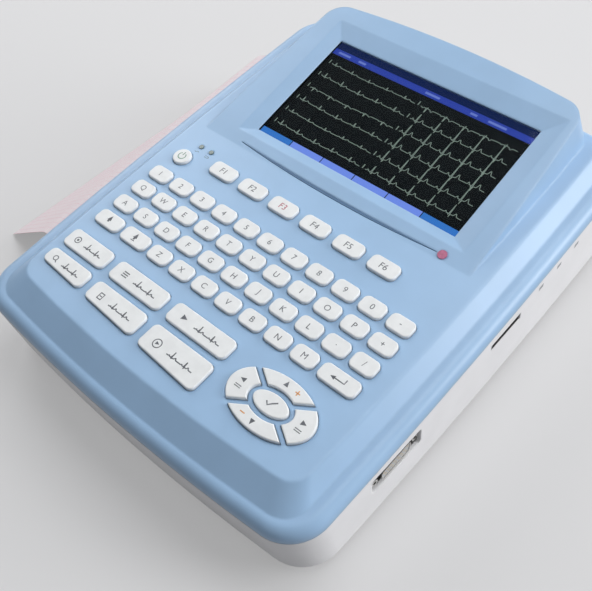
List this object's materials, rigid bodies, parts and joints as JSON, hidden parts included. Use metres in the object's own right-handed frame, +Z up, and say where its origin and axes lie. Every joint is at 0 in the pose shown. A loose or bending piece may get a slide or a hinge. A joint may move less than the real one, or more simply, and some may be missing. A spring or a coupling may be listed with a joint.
{
  "type": "ecg machine",
  "caption": "Portable table-top ECG recorder with a sloping screen, a keyboard, an oval arrow pad and a paper drawer whose printer feeds chart paper out at the left.",
  "frame": {"origin": "on the table under the middle of the box around machine and paper", "axes": "+Z up, +Y to the back with the screen, +X to the right, away from the paper"},
  "size_m": [0.335, 0.326, 0.0956],
  "materials": {
    "cover_blue": "fine moulded texture, satin",
    "base_white": "fine moulded texture, satin",
    "key_white": "smooth silicone, matt",
    "screen_glass": "polished",
    "screen_panel": "dark panel",
    "divider_dark": "dark print",
    "lamp_red": "tinted lens",
    "lamp_dark": "tinted lens",
    "chart_paper": "thermal paper with a pale grid",
    "roller_rubber": "ground rubber",
    "mat_rubber": "silicone",
    "sheet_steel": "zinc plated",
    "socket_metal": "nickel plated",
    "gear_nylon": "natural nylon",
    "board_green": "solder mask",
    "black_plastic": "moulded",
    "head_ceramic": "glazed ceramic heater bar",
    "motor_steel": "zinc plated",
    "battery_wrap": "shrink wrap"
  },
  "bodies": {
    "case": {"top_cover": "cover_blue", "base_tray": "base_white", "battery_cover": "base_white", "screen_window": "screen_glass", "lcd_panel": "screen_panel", "divider_strip": "divider_dark", "indicator_lamp": "lamp_red", "status_lamps": "lamp_dark", "feet": "roller_rubber", "keypad_mat": "mat_rubber", "lcd_bracket": "sheet_steel", "printer_chassis": "sheet_steel", "idler_pin": "sheet_steel", "case_screws": "sheet_steel", "patient_socket": "socket_metal", "socket_posts": "socket_metal", "ground_stud": "socket_metal", "drawer_runners": "gear_nylon", "key_board": "board_green", "main_board": "board_green", "front_end_board": "board_green", "power_board": "board_green", "mains_inlet": "black_plastic", "rocker_frame": "black_plastic", "card_socket": "black_plastic", "speaker": "black_plastic", "print_head": "head_ceramic", "feed_motor": "motor_steel", "battery_pack": "battery_wrap"},
    "drawer": {"paper_drawer": "base_white", "paper_pack": "chart_paper", "chart_paper": "chart_paper"},
    "platen": {"platen_roller": "roller_rubber", "platen_shaft": "sheet_steel", "platen_gear": "gear_nylon"},
    "idler": {"idler_gear": "gear_nylon"},
    "motor_shaft": {"motor_pinion": "gear_nylon"},
    "rocker": {"power_rocker": "black_plastic"},
    "keys_row_1": {"keys_row_1": "key_white"},
    "keys_row_2": {"keys_row_2": "key_white"},
    "keys_row_3": {"keys_row_3": "key_white"},
    "keys_row_4": {"keys_row_4": "key_white"},
    "f_key_1": {"f_key_1": "key_white"},
    "f_key_2": {"f_key_2": "key_white"},
    "f_key_3": {"f_key_3": "key_white"},
    "f_key_4": {"f_key_4": "key_white"},
    "f_key_5": {"f_key_5": "key_white"},
    "f_key_6": {"f_key_6": "key_white"},
    "power_key": {"power_key": "key_white"},
    "mode_key_1": {"mode_key_1": "key_white"},
    "mode_key_2": {"mode_key_2": "key_white"},
    "mode_key_3": {"mode_key_3": "key_white"},
    "mode_key_4": {"mode_key_4": "key_white"},
    "mode_key_5": {"mode_key_5": "key_white"},
    "mode_key_6": {"mode_key_6": "key_white"},
    "up_key": {"up_key": "key_white"},
    "down_key": {"down_key": "key_white"},
    "left_key": {"left_key": "key_white"},
    "right_key": {"right_key": "key_white"},
    "ok_key": {"ok_key": "key_white"}
  },
  "joints": [
    {"name": "drawer_slide", "type": "slide", "parent": "case", "child": "drawer", "axis": [-1, 0, 0], "range_m": [0, 0.13]},
    {"name": "platen_spin", "type": "hinge", "parent": "drawer", "child": "platen", "pos_m": [-0.0835, 0.00044, 0.04281], "axis": [0, 0.999, 0.0436], "continuous": true},
    {"name": "idler_spin", "type": "hinge", "parent": "case", "child": "idler", "pos_m": [-0.06621, 0.00072, 0.03652], "axis": [0, 0.999, 0.0436], "continuous": true},
    {"name": "motor_spin", "type": "hinge", "parent": "case", "child": "motor_shaft", "pos_m": [-0.05593, 0.00125, 0.02428], "axis": [0, 0.999, 0.0436], "continuous": true},
    {"name": "rocker_tilt", "type": "hinge", "parent": "case", "child": "rocker", "pos_m": [0.0775, 0.1565, 0.03], "axis": [1, 0, 0], "range_deg": [0, 20]},
    {"name": "keys_row_1_press", "type": "slide", "parent": "case", "child": "keys_row_1", "axis": [0, -0.0436, 0.999], "range_m": [-0.0012, 0], "stiffness_N_per_m": 500, "springref_m": 0.0006},
    {"name": "keys_row_2_press", "type": "slide", "parent": "case", "child": "keys_row_2", "axis": [0, -0.0436, 0.999], "range_m": [-0.0012, 0], "stiffness_N_per_m": 500, "springref_m": 0.0006},
    {"name": "keys_row_3_press", "type": "slide", "parent": "case", "child": "keys_row_3", "axis": [0, -0.0436, 0.999], "range_m": [-0.0012, 0], "stiffness_N_per_m": 500, "springref_m": 0.0006},
    {"name": "keys_row_4_press", "type": "slide", "parent": "case", "child": "keys_row_4", "axis": [0, -0.0436, 0.999], "range_m": [-0.0012, 0], "stiffness_N_per_m": 500, "springref_m": 0.0006},
    {"name": "f_key_1_press", "type": "slide", "parent": "case", "child": "f_key_1", "axis": [0, -0.0436, 0.999], "range_m": [-0.0012, 0], "stiffness_N_per_m": 500, "springref_m": 0.0006},
    {"name": "f_key_2_press", "type": "slide", "parent": "case", "child": "f_key_2", "axis": [0, -0.0436, 0.999], "range_m": [-0.0012, 0], "stiffness_N_per_m": 500, "springref_m": 0.0006},
    {"name": "f_key_3_press", "type": "slide", "parent": "case", "child": "f_key_3", "axis": [0, -0.0436, 0.999], "range_m": [-0.0012, 0], "stiffness_N_per_m": 500, "springref_m": 0.0006},
    {"name": "f_key_4_press", "type": "slide", "parent": "case", "child": "f_key_4", "axis": [0, -0.0436, 0.999], "range_m": [-0.0012, 0], "stiffness_N_per_m": 500, "springref_m": 0.0006},
    {"name": "f_key_5_press", "type": "slide", "parent": "case", "child": "f_key_5", "axis": [0, -0.0436, 0.999], "range_m": [-0.0012, 0], "stiffness_N_per_m": 500, "springref_m": 0.0006},
    {"name": "f_key_6_press", "type": "slide", "parent": "case", "child": "f_key_6", "axis": [0, -0.0436, 0.999], "range_m": [-0.0012, 0], "stiffness_N_per_m": 500, "springref_m": 0.0006},
    {"name": "power_key_press", "type": "slide", "parent": "case", "child": "power_key", "axis": [0, -0.0436, 0.999], "range_m": [-0.0012, 0], "stiffness_N_per_m": 500, "springref_m": 0.0006},
    {"name": "mode_key_1_press", "type": "slide", "parent": "case", "child": "mode_key_1", "axis": [0, -0.0436, 0.999], "range_m": [-0.0012, 0], "stiffness_N_per_m": 500, "springref_m": 0.0006},
    {"name": "mode_key_2_press", "type": "slide", "parent": "case", "child": "mode_key_2", "axis": [0, -0.0436, 0.999], "range_m": [-0.0012, 0], "stiffness_N_per_m": 500, "springref_m": 0.0006},
    {"name": "mode_key_3_press", "type": "slide", "parent": "case", "child": "mode_key_3", "axis": [0, -0.0436, 0.999], "range_m": [-0.0012, 0], "stiffness_N_per_m": 500, "springref_m": 0.0006},
    {"name": "mode_key_4_press", "type": "slide", "parent": "case", "child": "mode_key_4", "axis": [0, -0.0436, 0.999], "range_m": [-0.0012, 0], "stiffness_N_per_m": 500, "springref_m": 0.0006},
    {"name": "mode_key_5_press", "type": "slide", "parent": "case", "child": "mode_key_5", "axis": [0, -0.0436, 0.999], "range_m": [-0.0012, 0], "stiffness_N_per_m": 500, "springref_m": 0.0006},
    {"name": "mode_key_6_press", "type": "slide", "parent": "case", "child": "mode_key_6", "axis": [0, -0.0436, 0.999], "range_m": [-0.0012, 0], "stiffness_N_per_m": 500, "springref_m": 0.0006},
    {"name": "up_key_press", "type": "slide", "parent": "case", "child": "up_key", "axis": [0, -0.0436, 0.999], "range_m": [-0.0012, 0], "stiffness_N_per_m": 500, "springref_m": 0.0006},
    {"name": "down_key_press", "type": "slide", "parent": "case", "child": "down_key", "axis": [0, -0.0436, 0.999], "range_m": [-0.0012, 0], "stiffness_N_per_m": 500, "springref_m": 0.0006},
    {"name": "left_key_press", "type": "slide", "parent": "case", "child": "left_key", "axis": [0, -0.0436, 0.999], "range_m": [-0.0012, 0], "stiffness_N_per_m": 500, "springref_m": 0.0006},
    {"name": "right_key_press", "type": "slide", "parent": "case", "child": "right_key", "axis": [0, -0.0436, 0.999], "range_m": [-0.0012, 0], "stiffness_N_per_m": 500, "springref_m": 0.0006},
    {"name": "ok_key_press", "type": "slide", "parent": "case", "child": "ok_key", "axis": [0, -0.0436, 0.999], "range_m": [-0.0012, 0], "stiffness_N_per_m": 500, "springref_m": 0.0006}
  ],
  "couplings": [
    {"joint": "idler_spin", "follows": "platen_spin", "ratio": -0.64286},
    {"joint": "motor_spin", "follows": "platen_spin", "ratio": 1.5}
  ]
}
